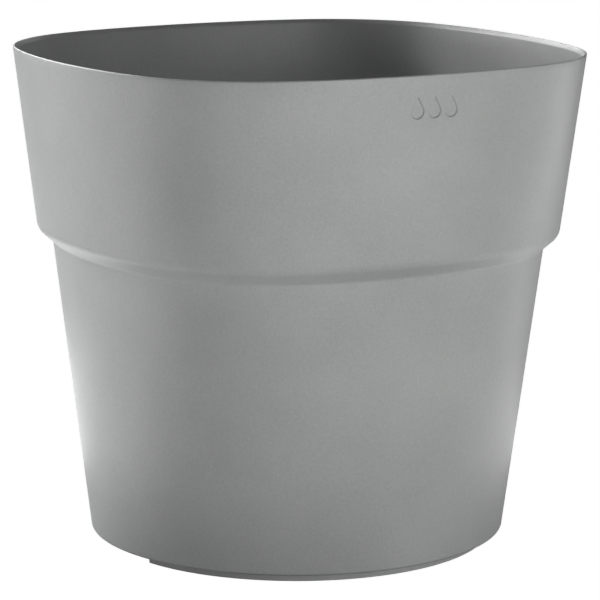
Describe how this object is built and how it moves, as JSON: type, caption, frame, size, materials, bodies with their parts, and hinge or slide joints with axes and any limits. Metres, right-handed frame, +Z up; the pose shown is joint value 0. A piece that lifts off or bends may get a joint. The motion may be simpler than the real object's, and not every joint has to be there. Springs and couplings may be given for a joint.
{
  "type": "self-watering planter",
  "caption": "Tall planter, round at the base and soft-square at the rim, with a stepped shoulder and a lift-out reservoir insert, filler tube and water-level gauge.",
  "frame": {"origin": "on the ground at the centre of the foot ring, under the pot's axis", "axes": "+Z up along the pot's axis; X and Y square to the rim's flats; -Y is the front flat with the small drop relief; filler tube at the +X+Y corner, gauge at the -X-Y corner"},
  "size_m": [0.2998, 0.2998, 0.283],
  "materials": {
    "pot_shell": "fine-grained matte moulded plastic, light neutral grey",
    "insert_plastic": "plain moulded plastic, near black",
    "cap_plastic": "smooth moulded plastic, mid grey",
    "seal_rubber": "soft black rubber",
    "pin_steel": "drawn stainless wire",
    "float_plastic": "white moulded plastic",
    "marker_red": "glossy red plastic",
    "gauge_clear": "clear moulded window, a clear plastic in the real object"
  },
  "bodies": {
    "pot": {"outer_pot": "pot_shell", "overflow_pipe": "insert_plastic"},
    "insert": {"separator_plate": "insert_plastic", "wick_cup_right": "insert_plastic", "wick_cup_back": "insert_plastic", "wick_cup_left": "insert_plastic", "wick_cup_front": "insert_plastic", "filler_tube": "insert_plastic", "filler_hinge_pin": "pin_steel", "gauge_tube": "insert_plastic", "gauge_foot": "insert_plastic", "gauge_foot_cap": "insert_plastic", "gauge_window": "gauge_clear", "gauge_bezel": "cap_plastic"},
    "cap": {"filler_cap": "cap_plastic"},
    "float": {"gauge_float": "float_plastic", "gauge_rod": "float_plastic", "gauge_marker": "marker_red"},
    "plug": {"drain_plug": "insert_plastic", "drain_seal": "seal_rubber"}
  },
  "joints": [
    {"name": "insert_lift", "type": "slide", "parent": "pot", "child": "insert", "axis": [0, 0, 1], "range_m": [0, 0.3]},
    {"name": "cap_hinge", "type": "hinge", "parent": "insert", "child": "cap", "pos_m": [0.08174, 0.08174, 0.2414], "axis": [-0.7071, 0.7071, 0], "range_deg": [0, 110]},
    {"name": "float_rise", "type": "slide", "parent": "insert", "child": "float", "axis": [0, 0, 1], "range_m": [0, 0.027]},
    {"name": "plug_pull", "type": "slide", "parent": "pot", "child": "plug", "axis": [0, 0, -1], "range_m": [0, 0.02]}
  ]
}
